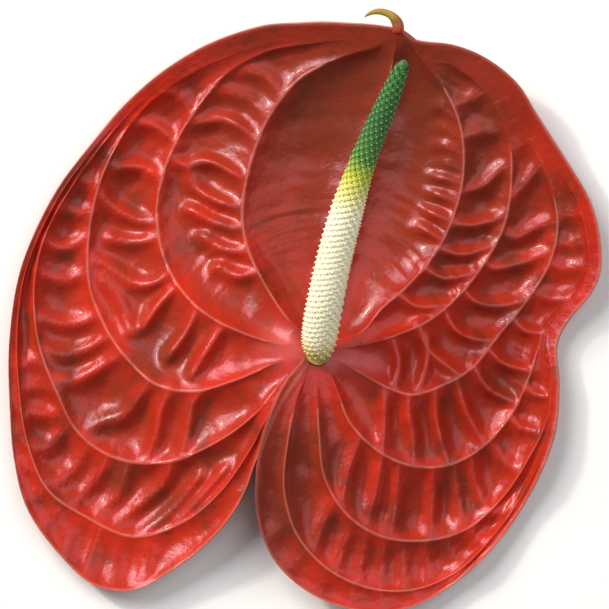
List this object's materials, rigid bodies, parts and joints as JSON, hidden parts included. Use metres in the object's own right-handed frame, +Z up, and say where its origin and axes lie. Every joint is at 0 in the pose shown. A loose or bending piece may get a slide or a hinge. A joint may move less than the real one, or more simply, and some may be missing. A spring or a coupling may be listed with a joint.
{
  "type": "cut anthurium flower",
  "caption": "Cut anthurium bloom lying face up: a glossy red heart-shaped spathe with raised veins and a curled tip, a tapering cream-to-green spadix and a short green stalk.",
  "frame": {"origin": "on the table, under the middle of the flower's bounding box", "axes": "+Z up, out of the flower's face; +Y along the midrib towards the curled tip; +X towards the lobe that the stalk lies under"},
  "size_m": [0.1329, 0.1491, 0.0458],
  "materials": {
    "spathe": "gloss",
    "spadix": "satin",
    "stalk": "satin"
  },
  "bodies": {
    "root": {"spathe": "spathe", "spadix": "spadix", "peduncle": "stalk"}
  },
  "joints": []
}
